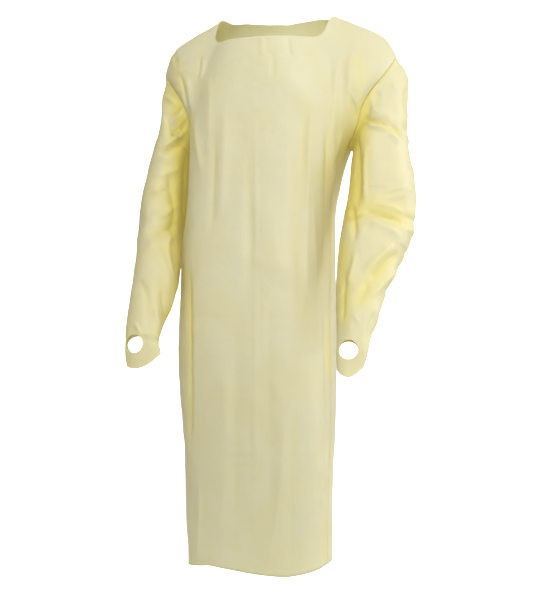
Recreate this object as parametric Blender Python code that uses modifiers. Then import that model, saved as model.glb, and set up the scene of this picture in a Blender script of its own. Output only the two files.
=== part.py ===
"""Isolation gown of the over-the-head kind, filled out as if worn: a front and a back panel welded at the sides
and shoulders, and two sleeves set on at slanting armholes, each with a thumb hole punched near its end.

Metres, +Z up. The origin lies on the wearer's shoulders, midway between the two points where the neckline meets
the shoulder seam. The front faces -Y, and +X is the wearer's left.
"""

import math

import bmesh
import bpy
import numpy as np
from mathutils import Matrix

GARMENT = "isolation gown"

WALL = 0.0016  # thickness of the cloth walls
SEAM_GAP = 0.0003  # clearance between neighbouring pieces at a seam

SECTION_POWER = 2.3  # 2 is an ellipse, more is squarer
ARMPIT_Z = -0.278
HEM_Z = -1.128

NECK_HALF = 0.115  # half the width of the neck opening
NECK_FRONT_Z = -0.060  # height of the straight cut across the front
NECK_CORNER = 0.012  # radius of the cut's corners
NECK_BACK = 0.079  # how far the opening reaches back from the shoulder seams
NECK_SHARE = 0.5  # share of a half panel's width that the neck takes
CROWN_Z = 0.028  # height that the panels would reach over the neck if it were not cut out
CROWN_ARCH = 3  # flatness of that height's fall to the shoulder seams
CROWN_POWER = (4.3, 5.7)  # squareness of that uncut crown at its front and its back
COLLAR_HOLLOW = (0.022, 0.004)  # how far the front and the back sink in beside the neck

# The shoulder seams of the wearer's left and right. The fields are the side, the outer end in x, y and z, and
# the share of the drop that is a straight slope, before the seam turns down at the shoulder's end.
SHOULDERS = (
    ("side", "tip_x", "tip_y", "tip_z", "slope"),
    (1, 0.250, -0.004, -0.098, 0.60),
    (-1, -0.258, -0.004, -0.108, 0.50),
)
SHOULDER_TURN = 10  # sharpness of that turn
ARMHOLE_FRONT = 0.060  # how far the armhole bows forwards, and backwards
ARMHOLE_BACK = 0.080
ARMHOLE_SCOOP = 0.016  # how far its front is cut into the chest
SCOOP_FROM = 0.25  # share of the armhole's height where the scoop begins

# Body sections from the armpits to the hem. The fields are the height, the middle in x and y, half the width,
# and the depths of the front and the back from the side seams.
BODY = (
    ("z", "mid_x", "mid_y", "half", "front", "back"),
    (-0.278, -0.0135, -0.015, 0.1720, 0.125, 0.108),
    (-0.318, -0.0235, -0.016, 0.1615, 0.126, 0.107),
    (-0.357, -0.0300, -0.018, 0.1570, 0.127, 0.106),
    (-0.420, -0.0335, -0.021, 0.1565, 0.127, 0.105),
    (-0.483, -0.0355, -0.024, 0.1580, 0.127, 0.107),
    (-0.588, -0.0370, -0.030, 0.1595, 0.128, 0.116),
    (-0.670, -0.0370, -0.035, 0.1620, 0.129, 0.122),
    (-0.756, -0.0350, -0.039, 0.1625, 0.127, 0.122),
    (-0.882, -0.0305, -0.040, 0.1560, 0.122, 0.117),
    (-1.050, -0.0295, -0.040, 0.1505, 0.118, 0.114),
    (-1.160, -0.0295, -0.040, 0.1485, 0.117, 0.114),
)

# Sleeve sections from the armhole to the mouth, mirrored for the wearer's right. The fields are the outer and
# the inner edge in x and z, the middle in y, the lean of the section in degrees as the forearm comes forwards,
# half the depth, and how far the section sags between its two edges.
SLEEVE_FIELDS = ("out_x", "out_z", "in_x", "in_z", "mid_y", "lean", "deep", "sag")
SLEEVE_LEFT = (
    (0.2655, -0.128, 0.1592, -0.2840, 0.008, 0, 0.0760, 0),
    (0.2700, -0.170, 0.1590, -0.2930, 0.002, 0, 0.0790, 0),
    (0.2700, -0.220, 0.1588, -0.3060, -0.005, 2, 0.0790, 0),
    (0.2735, -0.268, 0.1586, -0.3220, -0.013, 4, 0.0770, 0),
    (0.2840, -0.318, 0.1583, -0.3450, -0.018, 8, 0.0740, 0),
    (0.2920, -0.366, 0.1580, -0.3780, -0.029, 14, 0.0720, 0),
    (0.2940, -0.412, 0.1540, -0.4150, -0.044, 22, 0.0700, 0),
    (0.2900, -0.452, 0.1517, -0.4500, -0.062, 28, 0.0680, 0),
    (0.2820, -0.489, 0.1530, -0.4890, -0.088, 34, 0.0630, 0),
    (0.2705, -0.530, 0.1600, -0.5300, -0.123, 38, 0.0560, 0),
    (0.2635, -0.568, 0.1680, -0.5680, -0.155, 38, 0.0490, 0),
    (0.2565, -0.608, 0.1760, -0.6080, -0.186, 36, 0.0420, 0),
    (0.2510, -0.643, 0.1820, -0.6430, -0.211, 30, 0.0320, 0),
    (0.2475, -0.671, 0.1860, -0.6720, -0.227, 22, 0.0230, 0.002),
    (0.2445, -0.695, 0.1895, -0.6970, -0.235, 14, 0.0165, 0.006),
    (0.2405, -0.714, 0.1925, -0.7190, -0.240, 12, 0.0130, 0.009),
)
SLEEVE_RIGHT = (
    (0.2560, -0.138, 0.1868, -0.2840, 0.008, 0, 0.0760, 0),
    (0.2540, -0.174, 0.1885, -0.2930, 0.002, 0, 0.0790, 0),
    (0.2560, -0.215, 0.1900, -0.3060, -0.005, 2, 0.0790, 0),
    (0.2650, -0.255, 0.1915, -0.3220, -0.012, 4, 0.0780, 0),
    (0.2760, -0.300, 0.1935, -0.3450, -0.018, 8, 0.0760, 0),
    (0.2830, -0.350, 0.1955, -0.3780, -0.029, 14, 0.0760, 0),
    (0.2870, -0.400, 0.1975, -0.4150, -0.044, 22, 0.0740, 0),
    (0.2870, -0.445, 0.1985, -0.4500, -0.062, 28, 0.0700, 0),
    (0.2820, -0.485, 0.1930, -0.4890, -0.088, 34, 0.0640, 0),
    (0.2715, -0.530, 0.1800, -0.5300, -0.123, 38, 0.0560, 0),
    (0.2635, -0.568, 0.1715, -0.5680, -0.155, 38, 0.0490, 0),
    (0.2570, -0.608, 0.1720, -0.6080, -0.186, 36, 0.0420, 0),
    (0.2530, -0.643, 0.1755, -0.6430, -0.211, 30, 0.0320, 0),
    (0.2495, -0.673, 0.1755, -0.6710, -0.227, 22, 0.0230, 0.002),
    (0.2480, -0.698, 0.1700, -0.6830, -0.235, 14, 0.0165, 0.008),
    (0.2440, -0.717, 0.1680, -0.6930, -0.240, 12, 0.0130, 0.011),
)
# A sleeve is one cut piece. Its solid is divided across at two of its rings, so that its collision stays open.
SLEEVE_LENGTHS = (("upper", 0, 6), ("forearm", 6, 12), ("end", 12, 16))

THUMB_HOLE = 0.036  # diameter
THUMB_LEFT = (0.2120, -0.679)  # middle of each thumb hole in x and z
THUMB_RIGHT = (-0.2225, -0.673)
PUNCH_Y = -0.228  # middle of the punch that cuts both layers of a sleeve's end
PUNCH_LENGTH = 0.12
PUNCH_LEAN = 6  # degrees below level, towards the back
PUNCH_TURN = 14  # degrees that the punch turns towards the wearer's left
NECK_CUT_REACH = 0.25  # how far forward the block that cuts the front's neckline reaches
NECK_CUT_TOP = 0.06
NECK_CUT_DEEP = 0.20  # height of the post that cuts the back's neckline

PANEL_COLUMNS = 22  # cells across a panel
BODY_ROWS = 15  # cells from the hem to the armpits
YOKE_ROWS = 11  # cells from the armpits to the shoulders, and round half an armhole
FAIRED_ROWS = (-3, 5)  # rows below and above the armpits that are smoothed into each other
FAIRING_PASSES = 6
CREASE_ANGLE = 50  # degrees, beyond which an edge is shaded sharp
SEAM_TURN_IN = 0.3  # share of the armhole's height over which its edges turn to face each other

CLOTH = {"colour": (0.86, 0.83, 0.64), "roughness": 0.5}


def field(table, name, z):
    """Value of a field of the body table at a height, by a smooth curve through its rows."""
    rows = np.array(table[1:])[::-1]
    column = table[0].index(name)
    heights, values = rows[:, 0], rows[:, column]
    slopes = np.gradient(values, heights)
    i = int(np.clip(np.searchsorted(heights, z) - 1, 0, len(heights) - 2))
    step = heights[i + 1] - heights[i]
    u = (z - heights[i]) / step
    return (
        (2 * u**3 - 3 * u**2 + 1) * values[i]
        + (u**3 - 2 * u**2 + u) * step * slopes[i]
        + (3 * u**2 - 2 * u**3) * values[i + 1]
        + (u**3 - u**2) * step * slopes[i + 1]
    )


def section_point(share, z, front):
    """Point of the body's section at a height. The share runs from -1 to 1 between the side seams."""
    angle = share * math.pi / 2
    power = 2 / SECTION_POWER
    x = math.copysign(abs(math.sin(angle)) ** power, share)
    y = abs(math.cos(angle)) ** power
    depth = -field(BODY, "front", z) if front else field(BODY, "back", z)
    mid_x, mid_y = field(BODY, "mid_x", z), field(BODY, "mid_y", z)
    return np.array((mid_x + field(BODY, "half", z) * x, mid_y + depth * y, z))


def shoulder(side):
    return next(dict(zip(SHOULDERS[0], row)) for row in SHOULDERS[1:] if row[0] == side)


def tip_point(side):
    return np.array([shoulder(side)[name] for name in ("tip_x", "tip_y", "tip_z")])


def armhole_point(turn, side):
    """Point of an armhole. The turn runs from 0 at the armpit over the front to 1 at the shoulder tip, and over
    the back to 2 at the armpit again. The side is 1 for the wearer's left and -1 for the right."""
    armpit = section_point(side, ARMPIT_Z, True)
    rise = turn if turn <= 1 else 2 - turn
    along = (1 - rise) * rise + rise * (1 - math.cos(math.pi * rise)) / 2
    bow = -ARMHOLE_FRONT if turn <= 1 else ARMHOLE_BACK
    point = armpit + (tip_point(side) - armpit) * along
    point[1] += bow * math.sin(math.pi * rise)
    if SCOOP_FROM < turn < 1:
        depth = math.sin(math.pi * (turn - SCOOP_FROM) / (1 - SCOOP_FROM)) ** 2
        point -= armhole_axis(side) * ARMHOLE_SCOOP * depth
    return point


def armhole_axis(side):
    """Unit vector out of an armhole's plane, into the sleeve."""
    across = tip_point(side) - section_point(side, ARMPIT_Z, True)
    axis = np.array((across[2], 0, -across[0])) * side
    return axis / np.linalg.norm(axis)


def top_point(share):
    """Point of a panel's upper edge: the shoulder seams, joined over the neck by an arch that is cut out."""
    side = -1 if share < 0 else 1
    share = abs(share)
    if share <= NECK_SHARE:
        u = share / NECK_SHARE
        return np.array((side * NECK_HALF * u, 0, CROWN_Z * (1 - u**CROWN_ARCH)))
    end = shoulder(side)
    u = math.sin((share - NECK_SHARE) / (1 - NECK_SHARE) * math.pi / 2)
    drop = end["slope"] * u + (1 - end["slope"]) * u**SHOULDER_TURN
    x = side * NECK_HALF * (1 - u) + end["tip_x"] * u
    return np.array((x, end["tip_y"] * u, end["tip_z"] * drop))


def crown_point(rise, front):
    """Point of a panel's middle line over the chest or between the shoulder blades."""
    low, high = section_point(0, ARMPIT_Z, front), top_point(0)
    power = 2 / CROWN_POWER[0 if front else 1]
    angle = math.pi / 2 * rise
    across = math.cos(angle) ** power if rise < 1 else 0
    weights = np.array((1 - rise, across, 1 - math.sin(angle) ** power))
    return high + (low - high) * weights


def yoke_point(share, rise, front):
    """Point of a panel between the armpits and its upper edge: a patch blended from its four edges."""
    side = -1 if share < 0 else 1
    part = abs(share)
    low, high = section_point(share, ARMPIT_Z, front), top_point(share)
    corner_low = (1 - part) * section_point(0, ARMPIT_Z, front) + part * armhole_point(0, side)
    corner_high = (1 - part) * top_point(0) + part * tip_point(side)
    edge = armhole_point(rise if front else 2 - rise, side)
    point = (1 - rise) * (low - corner_low) + rise * (high - corner_high)
    point = point + (1 - part) * crown_point(rise, front) + part * edge
    hollow = COLLAR_HOLLOW[0] if front else -COLLAR_HOLLOW[1]
    point[1] += hollow * math.sin(math.pi * part) ** 2 * math.sin(math.pi * rise) ** 2
    return point


def fair(grid, first, last):
    """Relaxes the inner points of some rows towards their neighbours, so that no ridge is left between patches."""
    for _ in range(FAIRING_PASSES):
        around = grid[first - 1 : last - 1, 1:-1] + grid[first + 1 : last + 1, 1:-1]
        around = around + grid[first:last, :-2] + grid[first:last, 2:]
        grid[first:last, 1:-1] = (grid[first:last, 1:-1] + around / 4) / 2


def panel_grid(front):
    """Outer face of a panel, in rows from the hem to the shoulders."""
    shares = np.linspace(-1, 1, PANEL_COLUMNS + 1)
    heights = np.linspace(HEM_Z, ARMPIT_Z, BODY_ROWS + 1)[:-1]
    rises = np.linspace(0, 1, YOKE_ROWS + 1)
    rows = [[section_point(s, z, front) for s in shares] for z in heights]
    rows += [[yoke_point(s, r, front) for s in shares] for r in rises]
    grid = np.array(rows)
    fair(grid, BODY_ROWS + FAIRED_ROWS[0], BODY_ROWS + FAIRED_ROWS[1])
    return grid


def sleeve_grid(table, side):
    """Outer face of a sleeve, in rings from the armhole to the mouth. Each ring starts at the underarm."""
    turns = np.linspace(0, 2, 2 * YOKE_ROWS + 1)[:-1]
    rings = [[armhole_point(t, side) + SEAM_GAP * armhole_axis(side) for t in turns]]
    for row in table:
        f = dict(zip(SLEEVE_FIELDS, row))
        outer = np.array((side * f["out_x"], f["mid_y"], f["out_z"]))
        inner = np.array((side * f["in_x"], f["mid_y"], f["in_z"]))
        lean = math.radians(f["lean"])
        forward = np.array((0, -math.cos(lean), math.sin(lean))) * f["deep"]
        ring = []
        for turn in turns:
            angle = math.pi * turn
            point = (outer + inner) / 2 - (outer - inner) / 2 * math.cos(angle) + forward * math.sin(angle)
            ring.append(point - (0, 0, f["sag"] * math.sin(angle) ** 2))
        rings.append(ring)
    return np.array(rings)


def unit(vectors):
    return vectors / np.linalg.norm(vectors, axis=-1, keepdims=True)


def outward(grid, closed):
    """Unit normals of a grid, out of the garment. A closed grid's rows run round into themselves."""
    if closed:
        wide = np.concatenate((grid[:, -1:], grid, grid[:, :1]), axis=1)
        along = np.gradient(wide, axis=1)[:, 1:-1]
    else:
        along = np.gradient(grid, axis=1)
    return unit(np.cross(along, np.gradient(grid, axis=0)))


def armhole_normals(normals, turns, side):
    """Normals of an armhole's edge, turned so that the walls of two pieces end face to face. They are turned
    fully at the shoulder, and not at all at the armpit."""
    step = 1 / YOKE_ROWS
    turned = []
    for normal, turn in zip(normals, turns):
        tangent = unit(armhole_point((turn + step) % 2, side) - armhole_point((turn - step) % 2, side))
        axis = armhole_axis(side)
        axis = unit(axis - (axis @ tangent) * tangent)
        weight = min(min(turn, 2 - turn) / SEAM_TURN_IN, 1) ** 2
        turned.append(normal - (normal @ axis) * axis * weight)
    return unit(np.array(turned))


def wall(name, outer, normals, closed):
    """Closed solid between an outer grid and the same grid moved in by the cloth's thickness."""
    rows, columns = outer.shape[:2]
    inner = outer - WALL * normals
    points = np.concatenate((outer.reshape(-1, 3), inner.reshape(-1, 3)))
    below = rows * columns
    faces = []

    def strip(a, b, c, d):
        faces.extend(((a, b, c), (a, c, d)))

    for i in range(rows - 1):
        for j in range(columns if closed else columns - 1):
            k = (j + 1) % columns
            a, b, c, d = i * columns + j, i * columns + k, (i + 1) * columns + k, (i + 1) * columns + j
            strip(a, b, c, d)
            faces.extend(((a + below, c + below, b + below), (a + below, d + below, c + below)))
    for i, flip in ((0, False), (rows - 1, True)):
        for j in range(columns if closed else columns - 1):
            a, b = i * columns + j, i * columns + (j + 1) % columns
            strip(*((b, a, a + below, b + below) if not flip else (a, b, b + below, a + below)))
    if not closed:
        for j, flip in ((0, True), (columns - 1, False)):
            for i in range(rows - 1):
                a, b = i * columns + j, (i + 1) * columns + j
                strip(*((b, a, a + below, b + below) if not flip else (a, b, b + below, a + below)))
    mesh = bpy.data.meshes.new(name)
    mesh.from_pydata([tuple(p) for p in points], [], faces)
    build = bmesh.new()
    build.from_mesh(mesh)
    bmesh.ops.recalc_face_normals(build, faces=build.faces)
    build.to_mesh(mesh)
    build.free()
    mesh.shade_smooth()
    mesh.set_sharp_from_angle(angle=math.radians(CREASE_ANGLE))
    return bpy.data.objects.new(name, mesh)


def panel(name, front):
    """One panel, a hair clear of the plane of its side and shoulder seams."""
    grid = panel_grid(front)
    normals = outward(grid, closed=False) * (1 if front else -1)
    level = np.array((1, 0, 1))
    turns = np.linspace(0, 1, YOKE_ROWS + 1) if front else np.linspace(2, 1, YOKE_ROWS + 1)
    for column, side in ((0, -1), (-1, 1)):
        edge = normals[BODY_ROWS:, column]
        normals[BODY_ROWS:, column] = armhole_normals(edge, turns, side)
        normals[: BODY_ROWS + 1, column] = unit(normals[: BODY_ROWS + 1, column] * level)
    normals[-1] = unit(normals[-1] * level)
    grid[..., 1] += SEAM_GAP / 2 * (-1 if front else 1)
    return wall(name, grid, normals, closed=False)


def sleeve(name, table, side):
    """The three lengths of a sleeve, each a hair clear of the one above."""
    grid = sleeve_grid(table, side)
    normals = outward(grid, closed=True) * -side
    turns = np.linspace(0, 2, grid.shape[1] + 1)[:-1]
    normals[0] = armhole_normals(normals[0], turns, side)
    lengths = []
    for part, first, last in SLEEVE_LENGTHS:
        rings = grid[first : last + 1].copy()
        if first:
            rings[0] += SEAM_GAP * unit(rings[1] - rings[0])
        lengths.append(wall(f"{name}_{part}", rings, normals[first : last + 1], closed=True))
    return lengths


def thumb_cutter(name, place):
    """Punch through both layers of a flattened sleeve end."""
    x, z = place
    bpy.ops.mesh.primitive_cylinder_add(
        vertices=24,
        radius=THUMB_HOLE / 2,
        depth=PUNCH_LENGTH,
        location=(x, PUNCH_Y, z),
        rotation=(math.radians(90 - PUNCH_LEAN), 0, math.radians(PUNCH_TURN)),
    )
    cutter = bpy.context.object
    cutter.name = name
    return cutter


def neck_cutters():
    """Two cutters: a block with rounded lower edges for the front, and half an oval post for the back."""
    reach = NECK_CUT_TOP - NECK_FRONT_Z
    bpy.ops.mesh.primitive_cube_add(size=1, location=(0, -NECK_CUT_REACH / 2, NECK_FRONT_Z + reach / 2))
    block = bpy.context.object
    block.name = "front_neck_cutter"
    block.data.transform(Matrix.Diagonal((2 * NECK_HALF, NECK_CUT_REACH, reach, 1)))
    corners = block.modifiers.new("Corners", "BEVEL")
    corners.width = NECK_CORNER
    corners.segments = 4
    corners.limit_method = "WEIGHT"
    weights = block.data.attributes.new("bevel_weight_edge", "FLOAT", "EDGE")
    for edge in block.data.edges:
        ends = [block.data.vertices[i].co for i in edge.vertices]
        runs_back = ends[0].y * ends[1].y < 0
        weights.data[edge.index].value = float(runs_back and ends[0].z < 0)

    bpy.ops.mesh.primitive_cylinder_add(vertices=40, radius=1, depth=1, location=(0, 0, 0))
    post = bpy.context.object
    post.name = "back_neck_cutter"
    post.data.transform(Matrix.Diagonal((NECK_HALF, NECK_BACK, NECK_CUT_DEEP, 1)))
    return block, post


def cut(target, cutter, label):
    hole = target.modifiers.new(label, "BOOLEAN")
    hole.operation = "DIFFERENCE"
    hole.object = cutter
    cutter.hide_render = True
    cutter.display_type = "WIRE"


def cloth_material(name):
    material = bpy.data.materials.new(name)
    material.use_nodes = True
    shader = material.node_tree.nodes["Principled BSDF"]
    shader.inputs["Base Color"].default_value = (*CLOTH["colour"], 1)
    shader.inputs["Roughness"].default_value = CLOTH["roughness"]
    shader.inputs["Metallic"].default_value = 0
    return material


def main():
    for item in list(bpy.data.objects):
        bpy.data.objects.remove(item)
    gown = bpy.data.collections.new(GARMENT)
    cutters = bpy.data.collections.new("cutters")
    for collection in (gown, cutters):
        bpy.context.scene.collection.children.link(collection)

    front, back = panel("front", True), panel("back", False)
    left, right = sleeve("sleeve_left", SLEEVE_LEFT, 1), sleeve("sleeve_right", SLEEVE_RIGHT, -1)
    for piece in (front, back, *left, *right):
        gown.objects.link(piece)
        piece.data.materials.append(cloth_material(f"{piece.name} cloth"))

    block, post = neck_cutters()
    cuts = (
        (front, block, "Neck"),
        (back, post, "Neck"),
        (left[-1], thumb_cutter("left_thumb_cutter", THUMB_LEFT), "Thumb hole"),
        (right[-1], thumb_cutter("right_thumb_cutter", THUMB_RIGHT), "Thumb hole"),
    )
    for piece, cutter, label in cuts:
        for holder in list(cutter.users_collection):
            holder.objects.unlink(cutter)
        cutters.objects.link(cutter)
        cut(piece, cutter, label)


main()
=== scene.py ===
"""Isolation gown: the looks of its four cut pieces, laid out as a Blender add-on and run as a script.

Metres, +Z up. The origin lies on the wearer's shoulders, the front faces -Y and +X is the wearer's left.
Each piece is a thin sheet on the form of its solid, with its folds pushed in or out of the cloth.
"""

import math

import bpy
import numpy as np
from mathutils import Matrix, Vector, bvhtree, noise


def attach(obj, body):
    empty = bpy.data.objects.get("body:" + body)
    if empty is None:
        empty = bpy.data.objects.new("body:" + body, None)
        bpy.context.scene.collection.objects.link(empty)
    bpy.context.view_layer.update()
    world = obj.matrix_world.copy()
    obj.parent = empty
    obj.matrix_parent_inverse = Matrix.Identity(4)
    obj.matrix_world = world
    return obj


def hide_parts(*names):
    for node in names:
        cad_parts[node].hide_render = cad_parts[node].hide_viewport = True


bl_info = {
    "name": "Isolation gown",
    "version": (1, 0, 0),
    "blender": (4, 5, 0),
    "location": "View3D > Sidebar > Gown",
    "description": "Makes an over-the-head isolation gown, filled out as worn, and a plain studio for it",
    "category": "Object",
}

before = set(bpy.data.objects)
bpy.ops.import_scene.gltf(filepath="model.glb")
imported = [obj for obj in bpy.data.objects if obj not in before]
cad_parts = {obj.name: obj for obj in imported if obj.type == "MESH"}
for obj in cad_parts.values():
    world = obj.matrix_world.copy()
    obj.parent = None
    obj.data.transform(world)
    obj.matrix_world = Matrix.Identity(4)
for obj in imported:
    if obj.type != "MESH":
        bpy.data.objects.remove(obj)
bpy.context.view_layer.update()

# ---------------------------------------------------------------- form of the gown

SECTION_POWER = 3.1  # squareness of the body's sections, and how much narrower that makes them
SECTION_SLIM = 0.006
ARMPIT_Z = -0.278
HEM_Z = -1.128

NECK_HALF = 0.115  # the neck opening's half width, and its straight cut across the front
NECK_FRONT_Z = -0.060
NECK_CORNER = 0.018
NECK_FLARE = 0.2  # how much wider the opening's left side grows for its height above the straight cut
NECK_BACK = 0.079  # how far the opening reaches back, and a height below all of it
NECK_LOW = -0.15
NECK_SHARE = 0.5  # share of a half panel's width that the neck takes
CROWN_Z = 0.028  # the height that the panels would reach there uncut, and how that arch falls
CROWN_ARCH = 3
CROWN_POWER = (4.3, 5.7)
COLLAR_HOLLOW = (0.022, 0.004)  # how far the front and the back sink in beside the neck

SHOULDERS = (
    # The scoop is how far the front's edge is cut into the chest, at five places from the armpit up.
    ("side", "tip_x", "tip_y", "tip_z", "slope", "scoop"),
    (1, 0.250, -0.004, -0.098, 0.60, (0, -0.007, 0.001, -0.007, 0)),
    (-1, -0.258, -0.004, -0.108, 0.50, (0.004, 0.027, 0.036, 0.019, 0)),
)
SHOULDER_TURN = 10  # how sharply the shoulder turns down at its tip
ARMHOLE_FRONT = 0.060  # how far the armhole bows forwards, and backwards
ARMHOLE_BACK = 0.080

BODY = (
    ("z", "mid_x", "mid_y", "half", "front", "back"),
    (-0.278, -0.0135, -0.015, 0.1720, 0.125, 0.108),
    (-0.318, -0.0235, -0.016, 0.1615, 0.126, 0.107),
    (-0.357, -0.0300, -0.018, 0.1570, 0.127, 0.106),
    (-0.420, -0.0335, -0.021, 0.1565, 0.127, 0.105),
    (-0.483, -0.0355, -0.024, 0.1580, 0.127, 0.107),
    (-0.588, -0.0370, -0.030, 0.1595, 0.128, 0.116),
    (-0.670, -0.0370, -0.035, 0.1620, 0.129, 0.122),
    (-0.756, -0.0350, -0.039, 0.1625, 0.127, 0.122),
    (-0.882, -0.0305, -0.040, 0.1560, 0.122, 0.117),
    (-1.050, -0.0295, -0.040, 0.1505, 0.118, 0.114),
    (-1.160, -0.0295, -0.040, 0.1485, 0.117, 0.114),
)

# Sleeve sections from the armhole to the mouth, mirrored for the wearer's right: the outer and the inner edge
# in x and z, the middle in y, the lean in degrees, half the depth, and the sag between the two edges.
SLEEVE_FIELDS = ("out_x", "out_z", "in_x", "in_z", "mid_y", "lean", "deep", "sag")
SLEEVE_LEFT = (
    (0.2655, -0.128, 0.1592, -0.2840, 0.008, 0, 0.0760, 0),
    (0.2700, -0.170, 0.1590, -0.2930, 0.002, 0, 0.0790, 0),
    (0.2700, -0.220, 0.1588, -0.3060, -0.005, 2, 0.0790, 0),
    (0.2735, -0.268, 0.1586, -0.3220, -0.013, 4, 0.0770, 0),
    (0.2840, -0.318, 0.1583, -0.3450, -0.018, 8, 0.0740, 0),
    (0.2920, -0.366, 0.1580, -0.3780, -0.029, 14, 0.0720, 0),
    (0.2940, -0.412, 0.1540, -0.4150, -0.044, 22, 0.0700, 0),
    (0.2900, -0.452, 0.1517, -0.4500, -0.062, 28, 0.0680, 0),
    (0.2820, -0.489, 0.1530, -0.4890, -0.088, 34, 0.0630, 0),
    (0.2705, -0.530, 0.1600, -0.5300, -0.123, 38, 0.0560, 0),
    (0.2635, -0.568, 0.1680, -0.5680, -0.155, 38, 0.0490, 0),
    (0.2565, -0.608, 0.1760, -0.6080, -0.186, 36, 0.0420, 0),
    (0.2510, -0.643, 0.1820, -0.6430, -0.211, 30, 0.0320, 0),
    (0.2475, -0.671, 0.1860, -0.6720, -0.227, 22, 0.0230, 0.002),
    (0.2445, -0.695, 0.1895, -0.6970, -0.235, 14, 0.0165, 0.010),
    (0.2405, -0.714, 0.1925, -0.7190, -0.240, 12, 0.0130, 0.017),
)
SLEEVE_RIGHT = (
    (0.2560, -0.138, 0.1868, -0.2840, 0.008, 0, 0.0760, 0),
    (0.2540, -0.174, 0.1885, -0.2930, 0.002, 0, 0.0790, 0),
    (0.2560, -0.215, 0.1900, -0.3060, -0.005, 2, 0.0790, 0),
    (0.2650, -0.255, 0.1915, -0.3220, -0.012, 4, 0.0780, 0),
    (0.2760, -0.300, 0.1935, -0.3450, -0.018, 8, 0.0760, 0),
    (0.2830, -0.350, 0.1955, -0.3780, -0.029, 14, 0.0760, 0),
    (0.2870, -0.400, 0.1975, -0.4150, -0.044, 22, 0.0740, 0),
    (0.2870, -0.445, 0.1985, -0.4500, -0.062, 28, 0.0700, 0),
    (0.2820, -0.485, 0.1900, -0.4890, -0.088, 34, 0.0640, 0),
    (0.2715, -0.530, 0.1810, -0.5300, -0.123, 38, 0.0560, 0),
    (0.2635, -0.568, 0.1755, -0.5680, -0.155, 38, 0.0490, 0),
    (0.2570, -0.608, 0.1780, -0.6080, -0.186, 36, 0.0420, 0),
    (0.2510, -0.643, 0.1795, -0.6430, -0.211, 30, 0.0320, 0),
    (0.2460, -0.673, 0.1765, -0.6710, -0.227, 22, 0.0230, 0.002),
    (0.2440, -0.698, 0.1690, -0.6830, -0.235, 14, 0.0165, 0.011),
    (0.2400, -0.719, 0.1660, -0.6940, -0.240, 12, 0.0130, 0.016),
)

SLEEVE_LENGTHS = ("upper", "forearm", "end")  # the solids that a sleeve of cloth stands for

THUMB_HOLE = 0.036  # diameter, and the middle of each hole
THUMB_LEFT = (0.2090, -0.228, -0.682)
THUMB_RIGHT = (-0.2265, -0.228, -0.676)
PUNCH_LEAN = 6  # degrees that the holes lean back, and that they turn towards the wearer's left
PUNCH_TURN = 14

PANEL_COLUMNS = 22  # cells of the cages that carry the form
BODY_ROWS = 15
YOKE_ROWS = 11
FAIRED_ROWS = (-3, 5)  # the rows that are relaxed, counted from the armpits' row
FAIRING_PASSES = 6
PANEL_FINER = (7, 9)  # fine cells along the rows and the columns of a panel's cage cell
SLEEVE_FINER = (6, 11)

# ---------------------------------------------------------------- camera

CAMERA_TURN = 18  # degrees towards the wearer's left
CAMERA_REACH = 2.6  # from the gown's upright axis
CAMERA_Z = -0.588
SENSOR = 36  # mm, along the image's long side, and the lens in mm
LENS = 74.3
LENS_SHIFT = -10 / 600  # the gown stands ten pixels right of the image's middle

# ---------------------------------------------------------------- studio

FLOOR_Z = -1.46  # where a wearer of the gown would stand
FLOOR_SIZE = 7.0  # half the floor's width
SHEET_START = 0.95  # where the lit sheet begins behind the gown, its half width, and its height off the floor
SHEET_HALF = 1.65
SHEET_CLEAR = 0.004
BACKDROP_Y = 4.2
BACKDROP_HIGH = 3.6
LAMP_FIELDS = ("name", "place", "aim", "size", "spread")  # the spread in degrees, as through a honeycomb
LAMPS = (
    ("key", (0.95, -2.35, 0.85), (0.06, 0, -0.3), (0.8, 0.8), 64),
    ("side", (2.3, 1.4, 0.2), (0, 0, -0.35), (1.0, 1.2), 180),
    ("low", (1.6, -1.8, -1.1), (0.12, -0.05, -0.36), (0.5, 0.5), 44),
    ("top", (0.2, -0.5, 1.9), (0, 0, -0.2), (1.2, 1.2), 180),
)
ROOM_SIDES = (0.5, 1.4)  # brightness of the room's left and right, as shares of its mean
SWEEP = 1.2  # radius and steps of the curve between floor and backdrop
SWEEP_STEPS = 10
PAPER_ROUGHNESS = 0.9

# ---------------------------------------------------------------- folds

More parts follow.
